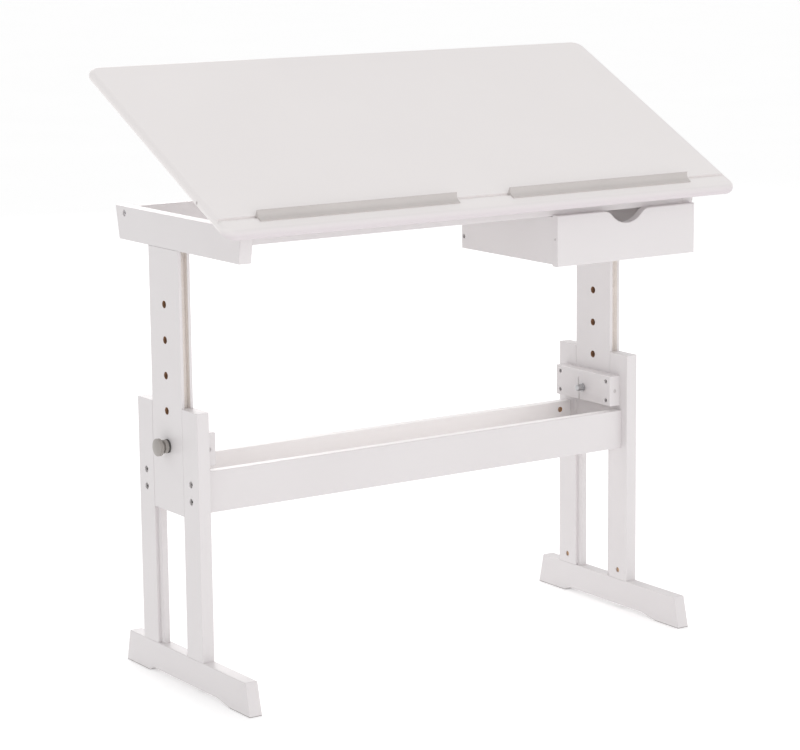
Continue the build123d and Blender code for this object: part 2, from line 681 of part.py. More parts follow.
rails = (
    ("front_rail", (RAIL_FRONT, FRONT_RAIL_BACK), (FRAME_TOP - FRONT_RAIL_THICK, FRAME_TOP), 0),
    ("rear_rail", (REAR_RAIL_FRONT, REAR_RAIL_BACK), (APRON_BOTTOM, FRAME_TOP), 1),
)
for name, y_range, z_range, which in rails:
    with BuildPart() as rail:
        slab((-LEG_INNER, LEG_INNER), y_range, z_range)
        fillet(rail.edges().filter_by(Axis.X), EASE)
        for side in SIDES.values():
            rod(rail_bolts(side)[which], BOLT_R + RUN, RAIL_BOLT_LENGTH + NUT_R, Mode.SUBTRACT)
            rod(rail_dowels(side)[which], DOWEL_R + RUN, DOWEL_LENGTH + DOWEL_SPARE, Mode.SUBTRACT)
    keep(name, rail)

with BuildPart() as frame_bolts:
    for side in SIDES.values():
        for mouth in apron_bolts(side):
            rod(mouth.offset(CAP_THICK), CAP_R - 1.0, BOLT_HEAD)
            rod(mouth.offset(CAP_THICK + BOLT_HEAD), BOLT_R, APRON_BOLT_LENGTH - BOLT_HEAD)
        for mouth in rail_bolts(side):
            bolt(mouth, RAIL_BOLT_LENGTH)
keep("frame_bolts", frame_bolts)

with BuildPart() as bolt_caps:
    for side in SIDES.values():
        for mouth in apron_bolts(side):
            rod(mouth, CAP_R, CAP_THICK)
keep("bolt_caps", bolt_caps)

with BuildPart() as frame_dowels:
    for side in SIDES.values():
        for end in rail_dowels(side):
            rod(end, DOWEL_R, DOWEL_LENGTH)
keep("frame_dowels", frame_dowels)

prop_rail_near = PROP_HALF_WIDTH + PROP_ARM_THICK / 2 + RACK_GAP + RACK_THICK
with BuildPart() as prop_rails:
    for side in SIDES.values():
        slab(
            span(side, prop_rail_near, prop_rail_near + PROP_RAIL_THICK),
            (FRONT_RAIL_BACK, REAR_RAIL_FRONT),
            (FRAME_TOP - PROP_RAIL_HEIGHT, FRAME_TOP),
        )
keep("prop_rails", prop_rails)

rack_start = prop_foot_y - RACK_AHEAD
with BuildPart() as tilt_racks:
    for side in SIDES.values():
        x_range = span(side, prop_rail_near - RACK_THICK, prop_rail_near)
        with BuildSketch(profile(x_range[0])) as rack_outline:
            tooth = RACK_LENGTH / RACK_TEETH
            points = [(rack_start, FRAME_TOP - RACK_HEIGHT)]
            for count in range(RACK_TEETH):
                points.append((rack_start + count * tooth, RACK_TOP - RACK_NOTCH))
                points.append((rack_start + count * tooth, RACK_TOP))
                points.append((rack_start + (count + 0.35) * tooth, RACK_TOP))
            points.append((rack_start + RACK_LENGTH, RACK_TOP - RACK_NOTCH))
            points.append((rack_start + RACK_LENGTH, FRAME_TOP - RACK_HEIGHT))
            with BuildLine():
                Polyline(*dict.fromkeys(points), close=True)
            make_face()
        extrude(rack_outline.sketch, amount=RACK_THICK)
keep("tilt_racks", tilt_racks)

# === Hinges ======================================================================================
with BuildPart() as hinge_bases:
    for side in SIDES.values():
        middle = side * HINGE_AT
        slab(
            (middle - HINGE_PLATE / 2, middle + HINGE_PLATE / 2),
            (RAIL_FRONT + EASE, RAIL_FRONT + FRONT_RAIL_DEPTH - 8.0),
            (FRAME_TOP, FRAME_TOP + HINGE_METAL),
        )
        slab(
            (middle - HINGE_TONGUE / 2 - HINGE_SLOT, middle + HINGE_TONGUE / 2 + HINGE_SLOT),
            (RAIL_FRONT, HINGE_Y + HINGE_EAR_R + HINGE_SLOT),
            (FRAME_TOP, FRAME_TOP + HINGE_METAL),
            Mode.SUBTRACT,
        )
        for ear in (-1, 1):
            ear_x = middle + ear * HINGE_EARS_APART / 2 - HINGE_METAL / 2
            with BuildSketch(profile(ear_x)) as ear_outline:
                with Locations((HINGE_Y, HINGE_Z)):
                    Circle(HINGE_EAR_R)
                with Locations((HINGE_Y, HINGE_Z - HINGE_RISE / 2)):
                    Rectangle(2 * HINGE_EAR_R, HINGE_RISE)
            extrude(ear_outline.sketch, amount=HINGE_METAL)
            rod(across(ear_x, HINGE_Y, HINGE_Z, 1), HINGE_PIN_R + RUN, HINGE_METAL, Mode.SUBTRACT)
keep("hinge_bases", hinge_bases)

with BuildPart() as hinge_leaves:
    for side in SIDES.values():
        middle = side * HINGE_AT
        with BuildSketch(underside.offset(-HINGE_METAL)) as plate:
            with Locations((middle, HINGE_PLATE_REACH / 2 - HINGE_EAR_R)):
                Rectangle(HINGE_PLATE, HINGE_PLATE_REACH)
        extrude(plate.sketch, amount=HINGE_METAL)
        tongue_plane = Plane(
            (middle - HINGE_TONGUE / 2, LINE + HINGE_Y, HINGE_Z), x_dir=tilted.y_dir, z_dir=(1, 0, 0)
        )
        with BuildSketch(tongue_plane) as knuckle:
            Circle(HINGE_EAR_R - 0.5)
            with Locations((0, HINGE_DROP / 2)):
                Rectangle(2 * HINGE_EAR_R - 1.0, HINGE_DROP)
        extrude(knuckle.sketch, amount=HINGE_TONGUE)
        rod(tongue_plane, HINGE_PIN_R + RUN, HINGE_TONGUE, Mode.SUBTRACT)
keep("hinge_leaves", hinge_leaves)

with BuildPart() as hinge_pins:
    for side in SIDES.values():
        start = side * HINGE_AT - HINGE_PIN / 2
        rod(across(start, HINGE_Y, HINGE_Z, 1), HINGE_PIN_R, HINGE_PIN)
keep("hinge_pins", hinge_pins)

# === Tilting board ===============================================================================
with BuildPart() as drawing_board:
    with BuildSketch(underside):
        with Locations((0, TOP_DEPTH / 2 - TOP_FRONT_REACH)):
            RectangleRounded(TOP_WIDTH, TOP_DEPTH, TOP_CORNER)
    extrude(amount=TOP_THICK)
    flat_faces = drawing_board.faces().filter_by(lambda f: abs(f.normal_at().dot(tilted.z_dir)) > 0.99)
    fillet(flat_faces.edges(), TOP_EDGE_ROUND)
    with BuildSketch(underside.offset(TOP_THICK - GROOVE_DEPTH)):
        with Locations((0, GROOVE_FROM_EDGE - TOP_FRONT_REACH)):
            Rectangle(TOP_WIDTH + GROOVE_WIDTH, GROOVE_WIDTH)
    extrude(amount=GROOVE_DEPTH, mode=Mode.SUBTRACT)
    for side in SIDES.values():
        rod(edge_plug_seat(side), EDGE_PLUG_R + RUN, EDGE_PLUG_DEEP, Mode.SUBTRACT)
keep("drawing_board", drawing_board)

with BuildPart() as edge_plugs:
    for side in SIDES.values():
        rod(edge_plug_seat(side).offset(PLUG_SUNK), EDGE_PLUG_R, EDGE_PLUG_DEEP - PLUG_SUNK)
keep("edge_plugs", edge_plugs)

with BuildPart() as board_battens:
    for side in SIDES.values():
        with BuildSketch(underside.offset(-BATTEN_THICK)) as batten:
            with Locations((side * BATTEN_AT, (BATTEN_START + BATTEN_END) / 2)):
                Rectangle(BATTEN_WIDTH, BATTEN_END - BATTEN_START)
        extrude(batten.sketch, amount=BATTEN_THICK)
    batten_corners = board_battens.edges().filter_by(Axis((0, 0, 0), tuple(tilted.z_dir)))
    fillet(batten_corners, EASE * 2)
keep("board_battens", board_battens)

for word, middle in (("left", LEDGE_LEFT_AT), ("right", LEDGE_RIGHT_AT)):
    ledge_plane = Plane(
        tilted.from_local_coords(
            Vector(middle - LEDGE_LENGTH / 2, GROOVE_FROM_EDGE - TOP_FRONT_REACH, HINGE_DROP + TOP_THICK)
        ),
        x_dir=tilted.y_dir,
        z_dir=(1, 0, 0),
    )
    half = GROOVE_WIDTH / 2 - SLIDE
    with BuildPart() as ledge:
        with BuildSketch(ledge_plane):
            with BuildLine():
                Polyline(
                    (LEDGE_CREST - 2.2, LEDGE_HEIGHT),
                    (LEDGE_CREST, LEDGE_HEIGHT - 1.2),
                    (LEDGE_CREST, 0),
                    (half, 0),
                    (half, -GROOVE_DEPTH + SLIDE),
                    (-half, -GROOVE_DEPTH + SLIDE),
                    (-half, 0),
                    (-LEDGE_LIP, 0),
                    (-LEDGE_LIP, LEDGE_LIP_THICK),
                    (-LEDGE_LIP + 5.5, LEDGE_LIP_THICK + 0.4),
                )
                ThreePointArc(
                    (-LEDGE_LIP + 5.5, LEDGE_LIP_THICK + 0.4),
                    (-1.2, 5.2),
                    (LEDGE_CREST - 2.2, LEDGE_HEIGHT),
                )
            make_face()
        extrude(amount=LEDGE_LENGTH)
    keep(f"pencil_ledge_{word}", ledge)

# === Prop ========================================================================================
with BuildPart() as prop_brackets:
    for side in SIDES.values():
        for ear in (-1, 1):
            near = side * PROP_HALF_WIDTH + ear * (PROP_ARM_THICK / 2 + 2 * SLIDE)
            near = near if ear > 0 else near - HINGE_METAL
            ear_plane = Plane((near, LINE + prop_pin_y, prop_pin_z), x_dir=tilted.y_dir, z_dir=(1, 0, 0))
            with BuildSketch(ear_plane) as ear_outline:
                Circle(HINGE_EAR_R)
                with Locations((0, HINGE_DROP / 2)):
                    Rectangle(2 * HINGE_EAR_R, HINGE_DROP)
            extrude(ear_outline.sketch, amount=HINGE_METAL)
            rod(ear_plane, HINGE_PIN_R + RUN, HINGE_METAL, Mode.SUBTRACT)
            with BuildSketch(underside.offset(-HINGE_METAL)) as flange:
                outer = near + (HINGE_METAL if ear > 0 else 0)
                with Locations((outer + ear * PROP_FLANGE / 2, PROP_REACH)):
                    Rectangle(PROP_FLANGE, 4 * HINGE_EAR_R)
            extrude(flange.sketch, amount=HINGE_METAL)
            with BuildSketch(underside.offset(-HINGE_METAL)) as joint_strip:
                with Locations((near + HINGE_METAL / 2, PROP_REACH)):
                    Rectangle(HINGE_METAL, 4 * HINGE_EAR_R)
            extrude(joint_strip.sketch, amount=HINGE_METAL)
keep("prop_brackets", prop_brackets)

with BuildPart() as prop_pins:
    for side in SIDES.values():
        start = side * PROP_HALF_WIDTH - PROP_PIN / 2
        rod(across(start, prop_pin_y, prop_pin_z, 1), HINGE_PIN_R, PROP_PIN)
keep("prop_pins", prop_pins)

with BuildPart() as prop_arms:
    for side in SIDES.values():
        arm_plane = Plane(
            (side * PROP_HALF_WIDTH - PROP_ARM_THICK / 2, LINE + prop_pin_y, prop_pin_z),
            x_dir=leaning.y_dir,
            z_dir=(1, 0, 0),
        )
        with BuildSketch(arm_plane) as arm_outline:
            with Locations((PROP_REACH / 2, 0)):
                SlotCenterToCenter(PROP_REACH, PROP_ARM_HEIGHT)
        extrude(arm_outline.sketch, amount=PROP_ARM_THICK)
        rod(arm_plane, HINGE_PIN_R + RUN, PROP_ARM_THICK, Mode.SUBTRACT)
        foot_hole = Plane((arm_plane.origin.X, LINE + prop_foot_y, HINGE_Z), x_dir=(0, 1, 0), z_dir=(1, 0, 0))
        rod(foot_hole, FOOT_BAR_R + RUN, PROP_ARM_THICK, Mode.SUBTRACT)
keep("prop_arms", prop_arms)

with BuildPart() as prop_stretcher:
    middle = leaning.from_local_coords(Vector(0, PROP_REACH * 0.45, 0))
    inner = PROP_HALF_WIDTH - PROP_ARM_THICK / 2
    with BuildSketch(Plane((-inner, middle.Y, middle.Z), x_dir=leaning.y_dir, z_dir=(1, 0, 0))):
        Rectangle(PROP_STRETCHER, PROP_ARM_HEIGHT - 4.0)
    extrude(amount=2 * inner)
keep("prop_stretcher", prop_stretcher)

with BuildPart() as prop_foot_bar:
    half_bar = prop_rail_near - RACK_GAP / 2
    rod(across(-half_bar, prop_foot_y, HINGE_Z, 1), FOOT_BAR_R, 2 * half_bar)
keep("prop_foot_bar", prop_foot_bar)

# === Drawer and its hangers ======================================================================
side_z = (DRAWER_SIDE_BOTTOM, DRAWER_SIDE_TOP)
drawer_y = (DRAWER_FRONT_BACK, DRAWER_BACK_END)
floor_z = (DRAWER_SIDE_BOTTOM + DRAWER_FLOOR_UP, DRAWER_SIDE_BOTTOM + DRAWER_FLOOR_UP + DRAWER_FLOOR)
back_y = (DRAWER_BACK_END - DRAWER_BACK_THICK, DRAWER_BACK_END)
walls = {"left": (DRAWER_LEFT, 1), "right": (DRAWER_RIGHT, -1)}
inner_left = DRAWER_LEFT + DRAWER_SIDE
inner_right = DRAWER_RIGHT - DRAWER_SIDE

with BuildPart() as drawer_front:
    scoop_middle = DRAWER_LEFT + DRAWER_FRONT_WIDTH / 2
    front_right = DRAWER_LEFT + DRAWER_FRONT_WIDTH
    front_bottom = DRAWER_TOP - DRAWER_FRONT_HEIGHT
    face_plane = Plane((0, LINE + DRAWER_FRONT_BACK, 0), x_dir=(1, 0, 0), z_dir=(0, -1, 0))
    with BuildSketch(face_plane):
        with BuildLine():
            shoulder = SCOOP_HALF_WIDTH * 0.62
            knee = DRAWER_TOP - SCOOP_DEPTH * 0.4
            left_rim = (scoop_middle - SCOOP_HALF_WIDTH, DRAWER_TOP)
            right_rim = (scoop_middle + SCOOP_HALF_WIDTH, DRAWER_TOP)
            left_knee = (scoop_middle - shoulder, knee)
            right_knee = (scoop_middle + shoulder, knee)
            down_left = TangentArc(left_rim, left_knee, tangent=(1, 0))
            bowl = ThreePointArc(left_knee, (scoop_middle, DRAWER_TOP - SCOOP_DEPTH), right_knee)
            down_right = TangentArc(right_rim, right_knee, tangent=(-1, 0))
            Polyline(
                right_rim,
                (front_right, DRAWER_TOP),
                (front_right, front_bottom),
                (DRAWER_LEFT, front_bottom),
                (DRAWER_LEFT, DRAWER_TOP),
                left_rim,
            )
        make_face()
    extrude(amount=DRAWER_FRONT_THICK)
    slab(
        (inner_left - DRAWER_GROOVE, inner_right + DRAWER_GROOVE),
        (DRAWER_FRONT_BACK - DRAWER_GROOVE, DRAWER_FRONT_BACK),
        (floor_z[0] - RUN, floor_z[1] + RUN),
        Mode.SUBTRACT,
    )
    fillet(drawer_front.faces().sort_by(Axis.Y)[0].edges(), FRONT_EASE)
    for mouth in front_pin_seats():
        rod(mouth, PIN_R + RUN, PIN_DEEP, Mode.SUBTRACT)
keep("drawer_front", drawer_front)

with BuildPart() as front_pins:
    for mouth in front_pin_seats():
        rod(mouth.offset(PLUG_SUNK), PIN_R, PIN_DEEP - PLUG_SUNK)
keep("front_pins", front_pins)

for word, (outer, inwards) in walls.items():
    with BuildPart() as drawer_side:
        wall_x = sorted((outer, outer + inwards * DRAWER_SIDE))
        slab(wall_x, drawer_y, side_z)
        fillet(drawer_side.edges().filter_by(Axis.Y), EASE)
        groove_end = outer + inwards * (DRAWER_SIDE - DRAWER_GROOVE)
        groove_x = sorted((groove_end, outer + inwards * 2 * DRAWER_SIDE))
        slab(groove_x, drawer_y, (floor_z[0] - RUN, floor_z[1] + RUN), Mode.SUBTRACT)
        seat = drawer_screw_seat(outer, inwards)
        screw_hole(seat, DRAWER_SIDE)
    keep(f"drawer_side_{word}", drawer_side)

with BuildPart() as drawer_back:
    slab((inner_left, inner_right), back_y, (floor_z[1], DRAWER_TOP - DRAWER_BACK_DROP))
    for outer, inwards in walls.values():
        seat = drawer_screw_seat(outer, inwards)
        rod(seat, SCREW_R + RUN, DRAWER_SIDE + SCREW_BITE, Mode.SUBTRACT)
keep("drawer_back", drawer_back)

with BuildPart() as drawer_floor:
    slab(
        (inner_left - DRAWER_GROOVE + SLIDE, inner_right + DRAWER_GROOVE - SLIDE),
        (DRAWER_FRONT_BACK - DRAWER_GROOVE + SLIDE, DRAWER_BACK_END),
        floor_z,
    )
keep("drawer_floor", drawer_floor)

with BuildPart() as drawer_screws:
    for outer, inwards in walls.values():
        seat = drawer_screw_seat(outer, inwards)
        screw(seat, DRAWER_SIDE + SCREW_BITE)
keep("drawer_screws", drawer_screws)

strip_z = (DRAWER_SIDE_TOP - STRIP_HEIGHT, DRAWER_SIDE_TOP)
with BuildPart() as hanger_strips:
    for outer, inwards in walls.values():
        inner = outer + inwards * DRAWER_SIDE
        slab(sorted((inner, inner + inwards * STRIP_WIDTH)), (drawer_y[0], back_y[0]), strip_z)
keep("hanger_strips", hanger_strips)

with BuildPart() as drawer_hangers:
    for outer, inwards in walls.values():
        inner = outer + inwards * DRAWER_SIDE
        web = inner + inwards * (STRIP_WIDTH + HANG)
        web_far = web + inwards * HANGER_METAL
        lip_z = (strip_z[0] - HANG - HANGER_METAL, strip_z[0] - HANG)
        under = FRAME_TOP - FRONT_RAIL_THICK
        hanger_y = (FRONT_RAIL_BACK - HANGER_UNDER_RAIL, REAR_RAIL_FRONT)
        slab(sorted((web, web_far)), hanger_y, (lip_z[0], under))
        slab(sorted((inner + inwards * 2 * HANG, web_far)), (hanger_y[0], back_y[1]), lip_z)
        slab(sorted((web, web + inwards * HANGER_FLANGE)), hanger_y, (under - HANGER_METAL, under))
        slab(
            sorted((web, web + inwards * HANGER_FLANGE)),
            (REAR_RAIL_FRONT - HANGER_METAL, REAR_RAIL_FRONT),
            (lip_z[0], under),
        )
keep("drawer_hangers", drawer_hangers)
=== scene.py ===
"""Looks, light and camera for a height-adjustable drafting table.

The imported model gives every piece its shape. This script gives each sub-assembly its finishes and
sets up the studio. Lengths are in metres in the model's own frame: +Z up, +X to the user's right,
the user at -Y, the floor at Z = 0.
"""

import json
import logging
import math
from dataclasses import dataclass, field
from enum import Enum
from typing import Any

import bmesh
import bpy
from mathutils import Matrix, Vector

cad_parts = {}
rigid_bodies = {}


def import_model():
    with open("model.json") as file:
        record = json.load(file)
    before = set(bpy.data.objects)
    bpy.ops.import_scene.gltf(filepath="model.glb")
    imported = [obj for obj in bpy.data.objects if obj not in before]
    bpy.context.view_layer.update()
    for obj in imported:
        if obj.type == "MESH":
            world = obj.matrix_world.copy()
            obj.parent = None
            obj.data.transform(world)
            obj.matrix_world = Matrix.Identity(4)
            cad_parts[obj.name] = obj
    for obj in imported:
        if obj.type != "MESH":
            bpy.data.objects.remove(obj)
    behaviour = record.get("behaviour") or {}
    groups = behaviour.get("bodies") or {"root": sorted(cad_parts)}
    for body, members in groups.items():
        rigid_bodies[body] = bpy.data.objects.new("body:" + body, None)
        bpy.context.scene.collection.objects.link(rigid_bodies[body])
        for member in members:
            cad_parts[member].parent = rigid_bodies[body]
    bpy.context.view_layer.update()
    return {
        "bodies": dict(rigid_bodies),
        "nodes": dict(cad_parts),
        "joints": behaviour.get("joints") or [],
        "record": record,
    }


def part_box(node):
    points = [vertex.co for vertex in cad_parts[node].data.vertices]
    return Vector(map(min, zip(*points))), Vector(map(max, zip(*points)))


log = logging.getLogger("drafting_table")

Colour = tuple[float, float, float]
Point = tuple[float, float, float]

SIDES: tuple[str, str] = ("left", "right")
BARE_PAST_BORE: float = 0.0003
BUILT: dict[str, bpy.types.Material] = {}


class Grain(Enum):
    """The axis that a piece of timber runs along, as noise scale factors for X, Y and Z."""

    ACROSS = (0.06, 1.0, 1.0)
    LENGTHWAYS = (1.0, 0.06, 1.0)
    UPRIGHT = (1.0, 1.0, 0.06)


class Graph:
    """A material's node tree, with short calls for the nodes that the finishes use."""

    def __init__(self, name: str) -> None:
        """Starts a material with its Principled shader.

        Args:
            name: The material's name.
        """
        self.material: bpy.types.Material = bpy.data.materials.new(name)
        self.material.use_nodes = True
        tree = self.material.node_tree
        self.nodes: Any = tree.nodes
        self.links: Any = tree.links
        self.shader: Any = self.nodes["Principled BSDF"]

    def add(self, kind: str, **settings: Any) -> Any:
        """Adds a node.

        Args:
            kind: The node's type, without the ShaderNode prefix.
            **settings: Properties of the node to set.

        Returns:
            The new node.
        """
        node = self.nodes.new("ShaderNode" + kind)
        for key, value in settings.items():
            setattr(node, key, value)
        return node

    def feed(self, node: Any, **inputs: Any) -> Any:
        """Sets or links a node's inputs by name, with underscores for spaces.

        Args:
            node: The node to feed.
            **inputs: A value, or an output socket to link, for each input.

        Returns:
            The same node.
        """
        for key, value in inputs.items():
            socket = node.inputs[key.replace("_", " ")]
            if isinstance(value, bpy.types.NodeSocket):
                self.links.new(value, socket)
            else:
                socket.default_value = value
        return node

    def place(self, scale: Point = (1.0, 1.0, 1.0)) -> Any:
        """Object coordinates in metres, stretched by a scale.

        Args:
            scale: Factors for X, Y and Z.

        Returns:
            The vector output.
        """
        coordinates = self.add("TexCoord")
        mapping = self.feed(self.add("Mapping"), Scale=scale)
        self.links.new(coordinates.outputs["Object"], mapping.inputs["Vector"])
        return mapping.outputs["Vector"]

    def noise(self, where: Any, scale: float, detail: float = 2.0, roughness: float = 0.5) -> Any:
        """Soft noise over a vector.

        Args:
            where: The vector to read.
            scale: Waves per metre.
            detail: Octaves.
            roughness: How strong the finer octaves are.

        Returns:
            The noise's value output, about 0 to 1.
        """
        node = self.feed(
            self.add("TexNoise"), Vector=where, Scale=scale, Detail=detail, Roughness=roughness
        )
        return node.outputs["Fac"]

    def spread(self, value: Any, low: float, high: float, at: tuple[float, float] = (0.3, 0.7)) -> Any:
        """Maps a value to a range.

        Args:
            value: The output to map.
            low: What it becomes at the lower end.
            high: What it becomes at the upper end.
            at: The two ends of the value.

        Returns:
            The mapped output.
        """
        node = self.add("MapRange")
        names = {"From Min": at[0], "From Max": at[1], "To Min": low, "To Max": high}
        for key, number in names.items():
            node.inputs[key].default_value = number
        self.links.new(value, node.inputs["Value"])
        return node.outputs["Result"]

    def blend(self, share: Any, first: Any, second: Any) -> Any:
        """Mixes two colours.

        Args:
            share: Output or number, how much of the second.
            first: Colour or output.
            second: Colour or output.

        Returns:
            The mixed colour output.
        """
        node = self.add("Mix", data_type="RGBA")
        for index, value in ((0, share), (6, first), (7, second)):
            if isinstance(value, bpy.types.NodeSocket):
                self.links.new(value, node.inputs[index])
            elif index == 0:
                node.inputs[index].default_value = value
            else:
                node.inputs[index].default_value = (*value, 1.0)
        return node.outputs[2]

    def sums(self, kind: str, *values: Any) -> Any:
        """One step of arithmetic.

        Args:
            kind: The Math node's operation.
            *values: Numbers or outputs.

        Returns:
            The result's output.
        """
        node = self.add("Math", operation=kind)
        for index, value in enumerate(values):
            if isinstance(value, bpy.types.NodeSocket):
                self.links.new(value, node.inputs[index])
            else:
                node.inputs[index].default_value = value
        return node.outputs["Value"]

    def eased(self, radius: float) -> Any:
        """The surface direction with sharp edges eased.

        Args:
            radius: How far the easing reaches from an edge.

        Returns:
            The normal output.
        """
        return self.feed(self.add("Bevel", samples=4), Radius=radius).outputs["Normal"]

    def edge_share(self, eased: Any) -> Any:
        """How close to an edge the surface is, from 0 to about 0.3.

        Args:
            eased: The eased normal.

        Returns:
            The share's output.
        """
        flat = self.add("NewGeometry").outputs["Normal"]
        dot = self.add("VectorMath", operation="DOT_PRODUCT")
        self.links.new(eased, dot.inputs[0])
        self.links.new(flat, dot.inputs[1])
        return self.sums("SUBTRACT", 1.0, dot.outputs["Value"])

    def relief(self, height: Any, depth: float, strength: float, normal: Any | None = None) -> Any:
        """Bump from a height.

        Args:
            height: The output to read as height.
            depth: Height in metres of a full step.
            strength: How much of it shows.
            normal: The normal that it is laid on.

        Returns:
            The normal output.
        """
        node = self.feed(self.add("Bump"), Height=height, Distance=depth, Strength=strength)
        if normal is not None:
            self.links.new(normal, node.inputs["Normal"])
        return node.outputs["Normal"]


@dataclass(frozen=True)
class Finish:
    """A surface finish. Each kind builds its material once and shares it."""

    name: str
    colour: Colour

    def material(self) -> bpy.types.Material:
        """Builds the material the first time it is asked for.

        Returns:
            The material that all pieces with this finish share.
        """
        if self.name not in BUILT:
            BUILT[self.name] = self.build(Graph(self.name))
        return BUILT[self.name]

    def build(self, graph: Graph) -> bpy.types.Material:
        """Builds the material.

        Args:
            graph: An empty graph with its shader.

        Returns:
            The finished material.
        """
        raise NotImplementedError


@dataclass(frozen=True)
class Lacquer(Finish):
    """Sprayed lacquer on wood: a faint orange peel, the grain just telling through, softer edges."""

    shade: Colour = (0.70, 0.669, 0.673)
    grain: Grain = Grain.UPRIGHT
    gloss_from: float = 0.34
    gloss_to: float = 0.46
    peel: float = 0.22
    grain_depth: float = 0.12

    def build(self, graph: Graph) -> bpy.types.Material:
        """Builds cloudy colour, grain relief and orange peel.

        Args:
            graph: An empty graph with its shader.

        Returns:
            The finished material.
        """
        even = graph.place()
        along = graph.place(self.grain.value)
        clouds = graph.noise(even, 4.0, 3.0)
        fibres = graph.noise(along, 260.0, 4.0, 0.6)
        peel = graph.noise(even, 900.0, 1.0)
        eased = graph.eased(0.0009)
        tone = graph.blend(graph.spread(clouds, 0.0, 0.5), self.colour, self.shade)
        tone = graph.blend(graph.spread(fibres, 0.0, 0.12), tone, self.shade)
        rubbed = graph.spread(graph.edge_share(eased), 0.0, 0.35, (0.02, 0.3))
        worn = graph.noise(even, 60.0, 3.0)
        rubbed = graph.sums("MULTIPLY", rubbed, graph.spread(worn, 0.2, 1.0))
        tone = graph.blend(rubbed, tone, tuple(0.94 * part for part in self.shade))
        normal = graph.relief(fibres, 0.00008, self.grain_depth, eased)
        normal = graph.relief(peel, 0.00004, self.peel, normal)
        graph.feed(
            graph.shader,
            Base_Color=tone,
            Roughness=graph.spread(clouds, self.gloss_from, self.gloss_to),
            Normal=normal,
            Coat_Weight=0.15,
            Coat_Roughness=0.25,
        )
        return graph.material


@dataclass(frozen=True)
class RoundedLacquer(Lacquer):
    """Lacquer on the drawing board, with painted shade on the lower part of its rounded front edge."""

    # Painted shade: the colour that the lowest part of the board fades to.
    edge_painted_shade: Colour = (0.665, 0.615, 0.635)
    front_low: float = 0.0
    fade: tuple[float, float] = (0.007, 0.019)

    def build(self, graph: Graph) -> bpy.types.Material:
        """Builds the lacquer, then painted shade that darkens the board towards its lowest part, the
        front edge.

        Args:
            graph: An empty graph with its shader.

        Returns:
            The finished material.
        """
        super().build(graph)
        parts = graph.add("SeparateXYZ")
        graph.links.new(graph.place(), parts.inputs["Vector"])
        # Painted shade, darker towards the board's lowest few millimetres.
        above = graph.sums("SUBTRACT", parts.outputs["Z"], self.front_low)
        share = graph.spread(above, 1.0, 0.0, self.fade)
        painted = graph.shader.inputs["Base Color"].links[0].from_socket
        graph.feed(graph.shader, Base_Color=graph.blend(share, painted, self.edge_painted_shade))
        return graph.material


